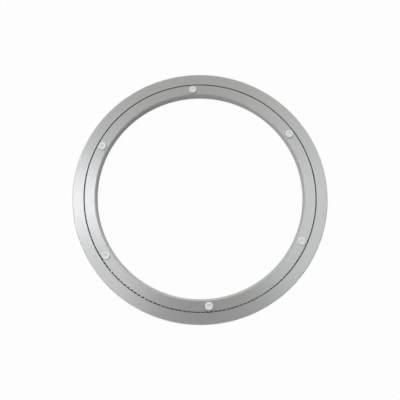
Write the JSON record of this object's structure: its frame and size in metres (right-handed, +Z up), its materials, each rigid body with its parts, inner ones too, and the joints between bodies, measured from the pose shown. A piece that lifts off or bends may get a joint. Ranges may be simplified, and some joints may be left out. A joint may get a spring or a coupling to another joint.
{
  "type": "swivel turntable bearing ring",
  "caption": "Flat round swivel ring for a television lift: an aluminium inner ring turns in an outer one on a full row of steel balls, with soft bumpers above and feet below.",
  "frame": {"origin": "on the swivel axis, in the plane that the feet stand on", "axes": "+Z up along the swivel axis, from the feet to the bumpers; +X towards the ball-loading plug; +Y through a foot"},
  "size_m": [0.305, 0.305, 0.014],
  "materials": {
    "turned_aluminium": "satin, turned in fine concentric lines",
    "polished_ball_steel": "ground and polished",
    "zinc_plated_steel": "bright zinc plate",
    "clear_silicone": "moulded, milky and translucent"
  },
  "bodies": {
    "base": {"outer_ring": "turned_aluminium", "loading_plug": "zinc_plated_steel", "foot_1": "clear_silicone", "foot_2": "clear_silicone", "foot_3": "clear_silicone", "foot_4": "clear_silicone", "foot_5": "clear_silicone", "foot_6": "clear_silicone"},
    "turntable": {"inner_ring": "turned_aluminium", "bumper_1": "clear_silicone", "bumper_2": "clear_silicone", "bumper_3": "clear_silicone", "bumper_4": "clear_silicone", "bumper_5": "clear_silicone", "bumper_6": "clear_silicone"},
    "ball_set": {"bearing_balls": "polished_ball_steel"}
  },
  "joints": [
    {"name": "swivel", "type": "hinge", "parent": "base", "child": "turntable", "pos_m": [0, 0, 0.007], "axis": [0, 0, 1], "continuous": true},
    {"name": "ball_orbit", "type": "hinge", "parent": "base", "child": "ball_set", "pos_m": [0, 0, 0.007], "axis": [0, 0, 1], "continuous": true}
  ],
  "couplings": [
    {"joint": "ball_orbit", "follows": "swivel", "ratio": 0.49361}
  ]
}
